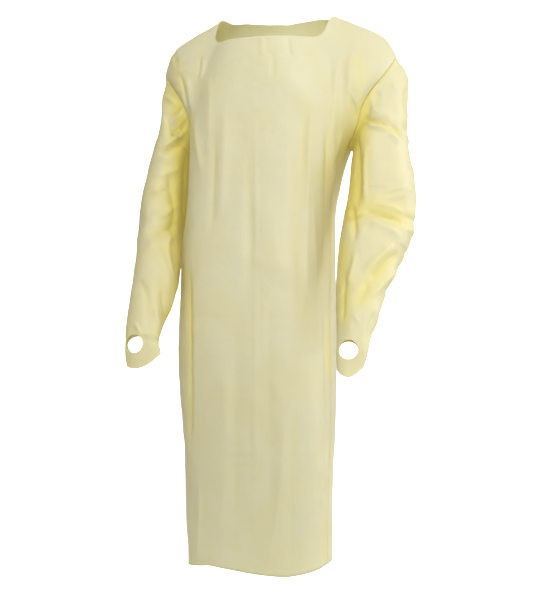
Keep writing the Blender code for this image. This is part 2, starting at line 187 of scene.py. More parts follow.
# Every fold is drawn as seen from a side: its two ends across and up, in millimetres on the plane through
# the gown's axis, how far its middle bows, its half width, its height, and how much wider its lower or left
# flank is, where it is. A patch of painted yellow shade, which stands for shade and for light that comes
# through more cloth, is drawn the same way, with the strength of its painted shade in place of the height.
STROKE_FIELDS = ("x0", "z0", "x1", "z1", "bow", "wide", "strength", "skew")
FRONT_FOLDS = (
    (-38, -30, -39, -76, 0, 4, 1.8),
    (23, -30, 32, -82, -1, 4, 2.0),
    (-14, -66, -16, -130, 0, 5, -1.2),
    (-160, -76, -167, -130, 1, 4.5, 2.4),
    (-166, -76, -173, -120, 1, 3.6, -2.6),
    (-210, -112, -200, -172, 2, 4.5, -2.6),
    (-223, -60, -217, -100, 0, 4.5, -2.0),
    (-214, -113, -186, -104, 1, 5, 2.2),
    (-196, -120, -186, -200, 3, 7, 2.6),
    (-150, -110, -152, -260, 5, 14, 2.2, 0.3),
    (-118, -160, -128, -420, 6, 18, 2.2, 0.2),
    (-138, -220, -146, -460, 4, 9, -2.2),
    (-52, -100, -54, -1175, 1, 3.2, 1.6),
    (-66, -240, -70, -620, 2, 8, -1.0),
    (67, -140, 57, -660, -6, 9, 2.8, -0.4),
    (52, -170, 40, -600, -5, 9, -1.8),
    (95, -200, 90, -560, 5, 7, -2.8),
    (112, -230, 104, -640, 3, 6, 2.4),
    (20, -250, 30, -520, 5, 12, -1.6),
    (126, -50, 112, -330, -4, 9, 1.5, 0.3),
    (109, -60, 98, -340, 0, 8, -1.2),
    (145, -145, 173, -204, 1, 4, 1.6),
    (140, -158, 166, -214, 0, 4.5, -1.4),
    (170, -60, 160, -230, 3, 10, -1.5),
    (152, -50, 140, -220, -2, 8, 1.4),
    (126, -268, 121, -345, 2, 7, -2.6),
    (134, -230, 118, -300, -3, 6, 2.6),
    (-176, -190, -162, -330, -5, 8, 2.8),
    (-189, -500, -188, -915, 2, 5, -2.6, 0.3),
    (106, -880, 107, -1005, 0, 5, -2.6),
    (-197, -615, -70, -613, 0, 3, 0.9),
    (-150, -907, 95, -903, 0, 3, 0.9),
    (-130, -941, 60, -938, 0, 3, -0.7),
    (-120, -640, -130, -1150, 12, 30, 2.4),
    (-86, -600, -92, -1120, -6, 16, -1.6),
    (-20, -560, -8, -1140, -10, 26, -2.0),
    (60, -700, 70, -1160, 8, 22, 2.4),
    (34, -760, 26, -1150, -5, 12, -1.6),
    (10, -820, -30, -1165, 8, 16, 1.8),
    (-90, -500, 50, -560, 20, 26, 1.6),
    (-70, -330, -60, -560, 6, 14, -1.4),
    (-170, -960, -176, -1160, 3, 8, 2.2),
    (84, -1010, 92, -1165, 2, 8, -2.2),
)
BACK_FOLDS = (
    (-140, -90, -60, -300, 12, 16, 4.0, 0.2),
    (150, -80, 70, -310, -14, 17, 4.5),
    (-30, -60, -40, -420, 6, 18, -3.0),
    (40, -130, 52, -520, -8, 20, 3.5, 0.3),
    (90, -300, 110, -620, 6, 16, -3.5),
    (-100, -340, -118, -700, -8, 18, 4.0),
    (4, -200, 0, -1170, 2, 2.6, 1.4),
    (-150, -520, -150, -1140, 8, 26, 4.0),
    (-60, -620, -76, -1160, 10, 30, -4.0),
    (60, -660, 72, -1150, -10, 30, 4.5),
    (130, -700, 138, -1160, 4, 22, -3.5),
    (-160, -616, 60, -612, 0, 3, 0.9),
    (-90, -905, 150, -909, 0, 3, 0.9),
    (-30, -330, 90, -350, -14, 14, 2.0),
)
LEFT_FOLDS = (
    (174, -208, 232, -222, 2, 4.5, -3.0),
    (226, -219, 262, -254, 3, 5, -2.6),
    (185, -195, 237, -208, 3, 8, 2.2),
    (178, -219, 226, -235, 3, 5.5, 2.6),
    (222, -234, 250, -262, 3, 6, 2.2),
    (160, -225, 163, -408, 3, 11, -4.5),
    (183, -262, 182, -395, -4, 5, 2.4),
    (185, -349, 240, -347, 1, 2.6, 1.3),
    (208, -371, 284, -355, 2, 3, -1.3),
    (215, -379, 284, -364, 0, 3, 1.1),
    (172, -401, 258, -425, 4, 5, -3.4),
    (189, -387, 264, -407, 5, 7, 2.6),
    (180, -428, 254, -456, 6, 10, 3.0),
    (151, -384, 157, -468, 3, 6, -3.0),
    (134, -424, 176, -411, 0, 4, -2.2),
    (260, -483, 184, -550, -4, 11, -3.4),
    (192, -541, 158, -608, 3, 10, -3.0),
    (240, -468, 176, -536, -4, 9, 3.2),
    (252, -515, 184, -590, 0, 9, 2.8),
    (158, -480, 140, -560, 5, 7, 2.4),
    (138, -520, 132, -645, 0, 5, -2.2),
    (204, -138, 220, -166, 0, 5, 1.8),
    (224, -116, 242, -150, 0, 5, 1.8),
    (188, -160, 200, -192, 0, 5, 1.6),
    (262, -140, 266, -200, 0, 9, -2.2),
    (196, -610, 176, -680, 2, 8, -2.0),
    (150, -612, 168, -640, 0, 5, 1.6),
)
RIGHT_FOLDS = (
    (-238, -207, -200, -168, -2, 4, -3.4),
    (-238, -228, -194, -184, -2, 6, 3.6),
    (-233, -248, -190, -205, -2, 4.5, -3.8),
    (-256, -270, -192, -224, -4, 7, 4.0),
    (-262, -284, -196, -250, -4, 6, -2.8),
    (-236, -130, -210, -165, 2, 4, -2.6),
    (-244, -160, -216, -176, 0, 5, 2.2),
    (-199, -262, -208, -480, 4, 9, -3.6),
    (-270, -330, -206, -304, -6, 12, 2.4),
    (-286, -372, -228, -352, -3, 5, -1.8),
    (-292, -420, -214, -386, -8, 12, 2.8),
    (-290, -446, -208, -428, -6, 8, -2.8),
    (-284, -470, -214, -452, -5, 9, 2.6),
    (-238, -310, -226, -470, 6, 10, -2.6),
    (-262, -470, -232, -580, 6, 12, 3.0),
    (-236, -430, -222, -560, -6, 8, 2.4),
    (-298, -540, -266, -640, 6, 9, -2.4),
    (-250, -560, -236, -640, -3, 7, -2.4),
    (-306, -636, -290, -662, 0, 4, 2.2),
    (-292, -660, -252, -673, 3, 4, 2.2),
    (-262, -600, -246, -655, -3, 7, 2.0),
)
LEFT_FAR_FOLDS = (
    (-262, -200, -190, -240, 6, 10, 4.0),
    (-280, -350, -180, -390, 8, 12, 4.5),
    (-270, -420, -170, -450, 6, 12, -4.0),
    (-265, -455, -180, -500, 6, 12, 4.5),
    (-240, -520, -190, -620, 6, 10, 3.0),
)
RIGHT_FAR_FOLDS = (
    (190, -210, 262, -240, 6, 10, 4.0),
    (180, -340, 280, -372, 8, 12, 4.5),
    (178, -410, 272, -438, 6, 12, -4.0),
    (180, -450, 262, -492, 6, 12, 4.5),
    (190, -530, 236, -620, 6, 10, 3.0),
)
# Patches of painted yellow shade, mostly near the armholes, down the torso's sides and on the sleeves.
FRONT_SHADE_PATCHES = (
    (176, -120, 128, -380, -8, 36, 0.3, 0.3),
    (168, -170, 140, -320, -4, 16, 0.15),
    (112, -380, 112, -690, 0, 7, 0.55),
    (113, -600, 110, -770, 0, 9, 1.1),
    (160, -60, 168, -150, 0, 22, 0.25),
    (58, -130, 50, -420, 0, 14, 0.14),
    (-232, -60, -205, -170, 4, 18, 0.3),
    (-190, -180, -176, -300, 2, 12, 0.25),
    (-190, -470, -190, -930, 0, 9, 0.3),
)
BACK_SHADE_PATCHES = (
    (-190, -120, -150, -360, 6, 34, 0.5),
    (190, -120, 150, -360, -6, 34, 0.5),
)
LEFT_SHADE_PATCHES = (
    (178, -110, 168, -230, 0, 16, 0.5),
    (170, -190, 150, -470, -4, 20, 0.8, -0.3),
    (166, -208, 262, -250, 6, 12, 0.35),
    (160, -385, 285, -440, 8, 24, 0.5),
    (256, -470, 150, -620, -6, 24, 0.42),
    (136, -430, 134, -680, 0, 16, 0.6),
)
RIGHT_SHADE_PATCHES = (
    (-246, -130, -196, -230, 4, 16, 0.35),
    (-190, -200, -196, -470, 4, 16, 0.4),
    (-256, -660, -226, -700, 0, 10, 0.3),
)
LEFT_SIDE_FOLDS = (
    (-112, -330, -100, -860, 6, 13, 2.6, 0.2),
    (-62, -520, -70, -1150, -6, 15, -2.8),
    (-20, -360, -30, -640, 4, 10, 2.2),
    (34, -380, 22, -780, 6, 14, 2.8),
    (44, -720, 40, -1140, -5, 15, -2.6),
    (-100, -900, -94, -1150, 3, 12, 2.4),
    (-120, -616, 60, -612, 0, 3, 0.9),
)
RIGHT_SIDE_FOLDS = (
    (104, -360, 96, -760, -6, 12, 2.6, 0.2),
    (70, -640, 60, -1140, 5, 16, -2.8),
    (16, -340, 26, -700, 4, 12, -2.4),
    (-38, -420, -30, -900, 6, 14, 2.8),
    (-50, -800, -42, -1150, -5, 13, -2.4),
    (90, -860, 96, -1150, 3, 13, 2.2),
    (-60, -616, 120, -613, 0, 3, 0.9),
)
LEFT_OUTER_FOLDS = (
    (-56, -196, 44, -222, 8, 8, -1.6),
    (-60, -214, 50, -244, 6, 9, 1.5),
    (-70, -300, 30, -286, -6, 11, 1.2),
    (-112, -404, 2, -436, 8, 9, -1.9),
    (-120, -428, -6, -462, 8, 9, 1.7),
    (-138, -470, -30, -500, 6, 8, -1.6),
    (-60, -340, -76, -560, 8, 12, 1.4),
    (-176, -560, -112, -590, 4, 8, -1.4),
    (-216, -600, -206, -690, 3, 6, 1.1),
)
RIGHT_OUTER_FOLDS = (
    (60, -204, -40, -216, -6, 8, -1.5),
    (56, -236, -48, -250, -8, 10, 1.6),
    (74, -330, -24, -310, 6, 11, -1.2),
    (110, -396, -4, -424, -8, 9, 1.7),
    (124, -426, 8, -458, -8, 8, -1.9),
    (140, -468, 28, -492, -6, 9, 1.5),
    (56, -300, 80, -540, -8, 12, -1.2),
    (178, -552, 116, -580, -4, 8, 1.4),
    (214, -610, 204, -690, -3, 6, -1.1),
)
# The azimuth of each side, and the range over which a fold fades out where the cloth turns away from it.
SEEN_FROM = {
    "front": (CAMERA_TURN, -0.25, 0.15),
    "behind": (CAMERA_TURN + 180, 0.05, 0.45),
    "left": (90, 0.4, 0.8),
    "right": (270, 0.4, 0.8),
}
SIDES = (("left", LEFT_SIDE_FOLDS), ("right", RIGHT_SIDE_FOLDS))
FOLD_SHARE = {"front": 1.0, "back": 1.4, "sleeve_left": 1.35, "sleeve_right": 1.35}  # each piece's depth
FOLD_CREST = 1.3  # 2 is a round crest, less is a sharper one
FOLD_BESIDE = 0.3  # depth and reach of the dip beside a fold, as shares of its height and half width
FOLD_REACH = 2.4
SHADE_PATCHES = {
    "front": ("front", FRONT_SHADE_PATCHES),
    "back": ("behind", BACK_SHADE_PATCHES),
    "sleeve_left": ("front", LEFT_SHADE_PATCHES),
    "sleeve_right": ("front", RIGHT_SHADE_PATCHES),
}
STROKE_END = 0.28  # share of a fold's or patch's length over which each end runs out

SEAM_STILL = 0.022  # how far from a seam the cloth starts to lie free
SEAM_WELT = 0.005  # the welded seam's half width, its height, and the spacing of its puckers
WELT_HIGH = 0.0006
PUCKER = 0.017
PUCKER_DEPTH = 0.5  # share of the welt's height, and how much slower the puckers' own unevenness is
PUCKER_DRIFT = 0.77
WAVES = ((0.150, 0.0070), (0.060, 0.0036), (0.024, 0.0012))  # size and height of the cloth's unevenness
WAVE_SQUEEZE = 0.7  # how much slower it changes up the cloth than across it
WAVE_LEVEL = 0.3  # where the noise is folded up, and how far that fold is rounded off
WAVE_ROUND = 0.003
WAVE_SHIFT = 7  # how far apart the waves' noises lie, and where they start
WAVE_START = (3, 5)
CRUMPLE = (0.7, 1.3)  # how much of it the panels and the sleeves have
# How far the hem hangs low or high, at places across it.
HEM_DROPS = (
    (-0.210, 0.026),
    (-0.180, 0.010),
    (-0.155, 0.001),
    (-0.100, -0.007),
    (-0.010, 0.003),
    (0.060, 0.007),
    (0.130, -0.003),
)
HEM_RAMP = 0.12  # height over which the hem's unevenness dies out
BACK_LIFT = (0.055, 0.10, 0.011)  # middle and half width across, and height, of a rise in the back's neckline
LIFT_UP = (-0.1, 0)  # heights, and depths behind the axis, over which it sets in
LIFT_BACK = (0, 0.05)

MOUTH_LIFT = 0.009  # how much shorter the back layer of a sleeve's mouth is, and where that begins and ends
MOUTH_BACK = (0, 0.5)  # on the sine of the turn behind the sleeve
MOUTH_END = (0.9, 1)  # on the share of the sleeve's length

FACE_RAYS = 24  # rays that look for other cloth, where they start, and how far they reach
FACE_START = 0.004
FACE_REACH = 0.22
RAY_TURN = math.pi * (3 - math.sqrt(5))  # from one ray to the next, so that they spread evenly
# Painted yellow shade on a whole piece, and where it faces other cloth.
PAINTED_SHADE_PLAIN = {"front": 0.0, "back": 0.0, "sleeve_left": 0.1, "sleeve_right": 0.2}
PAINTED_SHADE_CLOSE = {"front": 0.2, "back": 0.2, "sleeve_left": 2.4, "sleeve_right": 1.6}
PAINTED_SHADE_TROUGH = 0.8  # painted shade in a trough as deep as half its width, and along a seam
PAINTED_SHADE_SEAM = 0.35

# ---------------------------------------------------------------- cloth

OUTER_COLOURS = ("cloth", "cloth_dull", "painted_yellow")  # plain, in thicker patches, and painted yellow shade near more cloth
# The bare face's painted shade turns to the duller colour.
INNER_COLOURS = ("inside", "inside", "cloth_dull")
COATED_ROUGHNESS = {"To Min": 0.34, "To Max": 0.56}  # over the crumple
BARE_ROUGHNESS = {"To Min": 0.7, "To Max": 0.9}
FIBRE_PATCH = 1 / 14  # metres: patches 71 mm across, bond points 2.5 mm apart and crumple 17 mm across
BOND_SPACING = 1 / 400
CRUMPLE_SIZE = 1 / 60
BOND_RATIO = 0.35  # how irregular the bond points lie, and their height beside the crumple's
BOND_HEIGHT = 0.06
BUMP = {"Strength": 0.35, "Distance": 0.002}
LIGHT_SHARE = 0.55  # share of the light that the cloth lets through

# ---------------------------------------------------------------- settings


def length_property(name, description, metres, least):
    return bpy.props.FloatProperty(
        name=name, description=description, default=metres, min=least, max=0.002, precision=4, unit="LENGTH"
    )


class GownSizes(bpy.types.PropertyGroup):
    """Sizes of the cloth and its folds."""

    thickness: length_property("Cloth thickness", "Thickness of the coated cloth", 0.0006, 0.0001)
    fold_depth: bpy.props.FloatProperty(
        name="Fold depth",
        description="How deep the folds are, as a multiple of their drawn heights",
        default=2.0,
        min=0.0,
        max=3.0,
        subtype="FACTOR",
    )
    inset: length_property("Inset", "How far the cloth lies inside its solid's outer face", 0.0004, 0.0)


def linear(hex_colour):
    """Linear red, green and blue of an sRGB hex colour such as F5F5EA."""
    parts = [int(hex_colour[i : i + 2], 16) / 255 for i in (0, 2, 4)]
    return tuple(c / 12.92 if c <= 0.04045 else ((c + 0.055) / 1.055) ** 2.4 for c in parts)


def colour_property(name, description, hex_colour):
    return bpy.props.FloatVectorProperty(
        name=name, description=description, default=linear(hex_colour), min=0, max=1, size=3, subtype="COLOR"
    )


def power_property(name, description, watts):
    return bpy.props.FloatProperty(name=name, description=description, default=watts, min=0, unit="POWER")


class GownColours(bpy.types.PropertyGroup):
    """Colours of the cloth."""

    cloth: colour_property("Cloth", "Face of the cloth in plain light", "F5F5EA")
    cloth_dull: colour_property("Cloth, thicker patches", "Face where the fibres lie thicker", "F2ECC8")
    # Painted shade and painted light: the yellow painted into the cloth's colour in creases, at seams, near
    # other cloth and at listed patches.
    painted_yellow: colour_property("Cloth, painted yellow shade", "Painted yellow shade and light near other cloth", "FAF29A")
    inside: colour_property("Cloth, bare face", "Inner face of the cloth, without the coat", "E6E6DE")
    through: colour_property("Light through the cloth", "Colour of light that has come through", "F5F1CA")


class StudioSettings(bpy.types.PropertyGroup):
    """The plain studio round the gown."""

    paper: colour_property("Paper", "Floor and backdrop", "E6E6E2")
    key_power: power_property("Key light", "Power of the large lamp at the right", 4.7)
    side_power: power_property("Side light", "Power of the lamp behind the right side", 30)
    top_power: power_property("Top light", "Power of the lamp overhead", 8)
    low_power: power_property("Low light", "Power of the low lamp under the arm at the right", 0.55)
    glow: bpy.props.FloatProperty(
        name="Sweep glow", description="How bright the lit sheet is of itself", default=1.0, min=0
    )
    room: bpy.props.FloatProperty(
        name="Room light", description="Mean brightness of the plain white room", default=0.81, min=0
    )


# ---------------------------------------------------------------- cages


def body(name, z):
    """Value of a field of the body table at a height, by a smooth curve through its rows."""
    rows = np.array(BODY[1:])[::-1]
    heights, values = rows[:, 0], rows[:, BODY[0].index(name)]
    slopes = np.gradient(values, heights)
    i = int(np.clip(np.searchsorted(heights, z) - 1, 0, len(heights) - 2))
    step = heights[i + 1] - heights[i]
    u = (z - heights[i]) / step
    return (
        (2 * u**3 - 3 * u**2 + 1) * values[i]
        + (u**3 - 2 * u**2 + u) * step * slopes[i]
        + (3 * u**2 - 2 * u**3) * values[i + 1]
        + (u**3 - u**2) * step * slopes[i + 1]
    )


def section_point(share, z, front):
    """Point of the body's section at a height. The share runs from -1 to 1 between the side seams."""
    angle = share * math.pi / 2
    power = 2 / SECTION_POWER
    x = math.copysign(abs(math.sin(angle)) ** power, share)
    y = abs(math.cos(angle)) ** power
    depth = -body("front", z) if front else body("back", z)
    half = body("half", z) - SECTION_SLIM
    return np.array((body("mid_x", z) + half * x, body("mid_y", z) + depth * y, z))


def shoulder(side):
    return next(dict(zip(SHOULDERS[0], row)) for row in SHOULDERS[1:] if row[0] == side)


def tip_point(side):
    return np.array([shoulder(side)[name] for name in ("tip_x", "tip_y", "tip_z")])


def armhole_axis(side):
    """Unit vector out of an armhole's plane, into the sleeve."""
    across = tip_point(side) - section_point(side, ARMPIT_Z, True)
    axis = np.array((across[2], 0, -across[0])) * side
    return axis / np.linalg.norm(axis)


def armhole_point(turn, side):
    """Point of an armhole. The turn runs from 0 at the armpit over the front to 1 at the shoulder tip, and
    over the back to 2 at the armpit again. The side is 1 for the wearer's left and -1 for the right."""
    armpit = section_point(side, ARMPIT_Z, True)
    rise = turn if turn <= 1 else 2 - turn
    along = (1 - rise) * rise + rise * (1 - math.cos(math.pi * rise)) / 2
    bow = -ARMHOLE_FRONT if turn <= 1 else ARMHOLE_BACK
    point = armpit + (tip_point(side) - armpit) * along
    point[1] += bow * math.sin(math.pi * rise)
    if turn < 1:
        scoop = shoulder(side)["scoop"]
        point -= armhole_axis(side) * np.interp(turn, np.linspace(0, 1, len(scoop)), scoop)
    return point


def top_point(share):
    """Point of a panel's upper edge: the shoulder seams, joined over the neck by an arch that is cut out."""
    side = -1 if share < 0 else 1
    share = abs(share)
    if share <= NECK_SHARE:
        u = share / NECK_SHARE
        return np.array((side * NECK_HALF * u, 0, CROWN_Z * (1 - u**CROWN_ARCH)))
    end = shoulder(side)
    u = math.sin((share - NECK_SHARE) / (1 - NECK_SHARE) * math.pi / 2)
    drop = end["slope"] * u + (1 - end["slope"]) * u**SHOULDER_TURN
    x = side * NECK_HALF * (1 - u) + end["tip_x"] * u
    return np.array((x, end["tip_y"] * u, end["tip_z"] * drop))


def crown_point(rise, front):
    """Point of a panel's middle line over the chest or between the shoulder blades."""
    low, high = section_point(0, ARMPIT_Z, front), top_point(0)
    power = 2 / CROWN_POWER[0 if front else 1]
    angle = math.pi / 2 * rise
    across = math.cos(angle) ** power if rise < 1 else 0
    weights = np.array((1 - rise, across, 1 - math.sin(angle) ** power))
    return high + (low - high) * weights


def yoke_point(share, rise, front):
    """Point of a panel between the armpits and its upper edge: a patch blended from its four edges."""
    side = -1 if share < 0 else 1
    part = abs(share)
    low, high = section_point(share, ARMPIT_Z, front), top_point(share)
    corner_low = (1 - part) * section_point(0, ARMPIT_Z, front) + part * armhole_point(0, side)
    corner_high = (1 - part) * top_point(0) + part * tip_point(side)
    edge = armhole_point(rise if front else 2 - rise, side)
    point = (1 - rise) * (low - corner_low) + rise * (high - corner_high)
    point = point + (1 - part) * crown_point(rise, front) + part * edge
    hollow = COLLAR_HOLLOW[0] if front else -COLLAR_HOLLOW[1]
    point[1] += hollow * math.sin(math.pi * part) ** 2 * math.sin(math.pi * rise) ** 2
    return point


def fair(grid, first, last):
    """Relaxes the inner points of some rows towards their neighbours, so that no ridge is left there."""
    for _ in range(FAIRING_PASSES):
        around = grid[first - 1 : last - 1, 1:-1] + grid[first + 1 : last + 1, 1:-1]
        around = around + grid[first:last, :-2] + grid[first:last, 2:]
        grid[first:last, 1:-1] = (grid[first:last, 1:-1] + around / 4) / 2


def panel_cage(front):
    """Coarse points of a panel, in rows from the hem to the shoulders."""
    shares = np.linspace(-1, 1, PANEL_COLUMNS + 1)
    heights = np.linspace(HEM_Z, ARMPIT_Z, BODY_ROWS + 1)[:-1]
    rows = [[section_point(s, z, front) for s in shares] for z in heights]
    rows += [[yoke_point(s, r, front) for s in shares] for r in np.linspace(0, 1, YOKE_ROWS + 1)]
    grid = np.array(rows)
    fair(grid, BODY_ROWS + FAIRED_ROWS[0], BODY_ROWS + FAIRED_ROWS[1])
    return grid


def sleeve_cage(table, side):
    """Coarse points of a sleeve, in rings from the armhole to the mouth. Each ring starts at the underarm."""
    turns = np.linspace(0, 2, 2 * YOKE_ROWS + 1)[:-1]
    rings = [[armhole_point(t, side) for t in turns]]
    for row in table:
        f = dict(zip(SLEEVE_FIELDS, row))
        outer = np.array((side * f["out_x"], f["mid_y"], f["out_z"]))
        inner = np.array((side * f["in_x"], f["mid_y"], f["in_z"]))
        lean = math.radians(f["lean"])
        forward = np.array((0, -math.cos(lean), math.sin(lean))) * f["deep"]
        ring = []
        for angle in math.pi * turns:
            point = (outer + inner) / 2 - (outer - inner) / 2 * math.cos(angle) + forward * math.sin(angle)
            ring.append(point - (0, 0, f["sag"] * math.sin(angle) ** 2))
        rings.append(ring)
    return np.array(rings)


# ---------------------------------------------------------------- sheets


def finer(grid, times, closed):
    """The grid with several cells for each of its rows' cells, on smooth curves through its points."""
    if closed:
        ends = np.concatenate((grid[-1:], grid, grid[:2]))
    else:
        ends = np.concatenate((2 * grid[:1] - grid[1:2], grid, 2 * grid[-1:] - grid[-2:-1]))
    a, b, c, d = (ends[i : len(ends) - 3 + i] for i in range(4))
    rows = []
    for u in np.arange(times) / times:
        rows.append(
            0.5 * (2 * b + (c - a) * u + (2 * a - 5 * b + 4 * c - d) * u**2 + (3 * b - a - 3 * c + d) * u**3)
        )
    fine = np.stack(rows, axis=1).reshape(-1, *grid.shape[1:])
    return fine if closed else np.concatenate((fine, grid[-1:]))


def unit(vectors):
    return vectors / np.maximum(np.linalg.norm(vectors, axis=-1, keepdims=True), 1e-12)


def outward(grid, closed):
    """Unit normals of a grid of rows. A closed grid's rows run round into themselves."""
    if closed:
        wide = np.concatenate((grid[:, -1:], grid, grid[:, :1]), axis=1)
        along = np.gradient(wide, axis=1)[:, 1:-1]
    else:
        along = np.gradient(grid, axis=1)
    return unit(np.cross(along, np.gradient(grid, axis=0)))


def smooth(value, low, high):
    """0 below low, 1 above high and a soft step between."""
    u = np.clip((value - low) / (high - low), 0, 1)
    return u * u * (3 - 2 * u)


def travelled(grid, axis):
    """Distance along the rows or the columns of a grid from its first point."""
    steps = np.linalg.norm(np.diff(grid, axis=axis), axis=-1)
    start = np.zeros_like(np.take(steps, [0], axis=axis))
    return np.concatenate((start, np.cumsum(steps, axis=axis)), axis=axis)


def strokes(points, normals, table, seen_from):
    """For each row of a table drawn as seen from a side: its strength, its half width in metres, how many
    half widths each point lies off its line, and how far it has faded out there."""
    azimuth, *fading = SEEN_FROM[seen_from]
    turn = math.radians(azimuth)
    across = points[..., 0] * math.cos(turn) + points[..., 1] * math.sin(turn)
    behind = points[..., 1] * math.cos(turn) - points[..., 0] * math.sin(turn)
    scale = CAMERA_REACH / (CAMERA_REACH + behind) * 1000
    x, z = across * scale, (points[..., 2] - CAMERA_Z) * scale + CAMERA_Z * 1000
    to_eye = np.array((math.sin(turn), -math.cos(turn), 0))
    facing = smooth(normals @ to_eye, *fading)
    for row in table:
        f = {"skew": 0, **dict(zip(STROKE_FIELDS, row))}
        run = np.array((f["x1"] - f["x0"], f["z1"] - f["z0"]))
        length = np.linalg.norm(run)
        run = run / length
        s = ((x - f["x0"]) * run[0] + (z - f["z0"]) * run[1]) / length
        off = (z - f["z0"]) * run[0] - (x - f["x0"]) * run[1]
        off = off - f["bow"] * 4 * s * (1 - s)
        near = np.abs(off) / (f["wide"] * np.where(off < 0, 1 + f["skew"], 1 - f["skew"]))
        ends = smooth(s, 0, STROKE_END) * smooth(1 - s, 0, STROKE_END)
        yield f["strength"], f["wide"] / 1000, near, ends * facing


def folds(points, normals, table, seen_from):
    """How far a table of folds, with their heights in millimetres, moves each point out of the cloth, and how
    much painted yellow shade their troughs get."""
    out, shade_paint = np.zeros(points.shape[:-1]), np.zeros(points.shape[:-1])
    for high, wide, near, fade in strokes(points, normals, table, seen_from):
        beside = FOLD_BESIDE * np.exp(-((near / FOLD_REACH) ** 2))
        profile = (np.exp(-(near**FOLD_CREST)) - beside) * high / 1000 * fade
        out += profile
        shade_paint += np.maximum(-profile / wide, 0)
    return out, shade_paint


def shade_patch_amounts(points, normals, table, seen_from):
    """How much painted yellow shade a table of patches gives each point."""
    every = strokes(points, normals, table, seen_from)
    return sum(much * np.exp(-(near**2)) * fade for much, _, near, fade in every)


def unevenness(points):
    """Creases and dents of cloth that has been packed flat and shaken out. Each noise is folded up at its
    zeros, so that its valleys are soft and its ridges crisp."""
    out = np.zeros(points.shape[:-1])
    flat = points.reshape(-1, 3)
    for i, (size, height) in enumerate(WAVES):
        start = Vector((WAVE_SHIFT * i, *WAVE_START))
        values = [noise.noise(Vector((p[0], p[1], p[2] * WAVE_SQUEEZE)) / size + start) for p in flat]
        out += height * (WAVE_LEVEL - np.sqrt(np.array(values) ** 2 + WAVE_ROUND)).reshape(out.shape)
    return out


def welt(distance, along):
    """Height of a welded seam's edge: none on the seam, a low ridge beside it and small puckers across it."""
    near = distance / SEAM_WELT
    ridge = near * np.exp(1 - near)
    waves = np.sin(along / PUCKER * 2 * math.pi) * np.sin(along / PUCKER * PUCKER_DRIFT)
    puckers = 1 + PUCKER_DEPTH * waves
    return WELT_HIGH * ridge * puckers


def hem_drop(points):
    """The lowest stretch moved down or up, as a hem that hangs unevenly."""
    places, drops = zip(*HEM_DROPS)
    amount = np.interp(points[..., 0], places, drops)
    return amount * smooth(HEM_Z + HEM_RAMP - points[..., 2], 0, HEM_RAMP)


def closed_in(pieces):
    """For each point of each cage (points, closed, sign of its normals), how much cloth it faces close by:
    the mask of the painted shade between pieces.
    """
    corners, faces = [], []
    for grid, closed, _ in pieces:
        rows, columns = grid.shape[:2]
        faces += [tuple(i + len(corners) for i in face) for face in grid_faces(rows, columns, closed, False)]
        corners += [tuple(p) for p in grid.reshape(-1, 3)]
    cloth = bvhtree.BVHTree.FromPolygons(corners, faces)
    steps = np.arange(FACE_RAYS) + 0.5
    height = 1 - steps / FACE_RAYS
    turn = steps * RAY_TURN
    ring = np.stack((np.cos(turn), np.sin(turn)), axis=1) * np.sqrt(1 - height**2)[:, None]
    shares = []
    for grid, closed, sign in pieces:
        normals = outward(grid, closed) * sign
        share = np.zeros(grid.shape[:2])
        for place in np.ndindex(share.shape):
            point, normal = Vector(grid[place]), Vector(normals[place])
            side = normal.orthogonal().normalized()
            other = normal.cross(side)
            for (a, b), h in zip(ring, height):
                ray = side * a + other * b + normal * h
                distance = cloth.ray_cast(point + normal * FACE_START, ray, FACE_REACH)[3]
                if distance is not None:
                    share[place] += h * (1 - distance / FACE_REACH)
        shares.append(share / height.sum())
    return shares


def clip(points, faces, keep):
    """The faces cut along the line where keep is 0, without the side where it is below it."""
    points = [tuple(p) for p in points]
    made = {}

    def crossing(a, b):
        key = (min(a, b), max(a, b))
        if key not in made:
            share = keep[a] / (keep[a] - keep[b])
            made[key] = len(points)
            points.append(tuple(np.array(points[a]) * (1 - share) + np.array(points[b]) * share))
        return made[key]

    kept = []
    for face in faces:
        inside = [keep[i] >= 0 for i in face]
        if all(inside):
            kept.append(face)
        elif any(inside):
            outline = []
            for i, a in enumerate(face):
                b = face[(i + 1) % len(face)]
                if keep[a] >= 0:
                    outline.append(a)
                if (keep[a] >= 0) != (keep[b] >= 0):
                    outline.append(crossing(a, b))
            kept.append(tuple(outline))
    used = sorted({i for face in kept for i in face})
    place = {old: new for new, old in enumerate(used)}
    return [points[i] for i in used], [tuple(place[i] for i in face) for face in kept]


def grid_faces(rows, columns, closed, flip):
    faces = []
    for i in range(rows - 1):
        for j in range(columns if closed else columns - 1):
            k = (j + 1) % columns
            face = (i * columns + j, i * columns + k, (i + 1) * columns + k, (i + 1) * columns + j)
            faces.append(face[::-1] if flip else face)
    return faces


def neck_keep(points, front):
    """Positive on the cloth, negative in the neck opening."""
    x, y, z = points[:, 0], points[:, 1], points[:, 2]
    flare = NECK_FLARE * np.maximum(z - NECK_FRONT_Z, 0)
    x = np.where(x > 0, x - flare * x / NECK_HALF, x)
    if front:
        over = np.stack((NECK_HALF - NECK_CORNER - np.abs(x), z - NECK_FRONT_Z - NECK_CORNER), axis=1)
        inner = np.linalg.norm(np.minimum(over, 0), axis=1) - NECK_CORNER
        return np.where(over.min(axis=1) > 0, -NECK_CORNER, inner)
    return np.where(z < NECK_LOW, NECK_HALF, (np.hypot(x / NECK_HALF, y / NECK_BACK) - 1) * NECK_BACK)


def thumb_keep(points, middle):
    """Positive on the cloth, negative in the thumb hole."""
    lean, turn = math.radians(PUNCH_LEAN), math.radians(PUNCH_TURN)
    axis = np.array((math.cos(lean) * math.sin(turn), -math.cos(lean) * math.cos(turn), math.sin(lean)))
    off = points - np.array(middle)
    return np.linalg.norm(off - (off @ axis)[:, None] * axis, axis=1) - THUMB_HOLE / 2


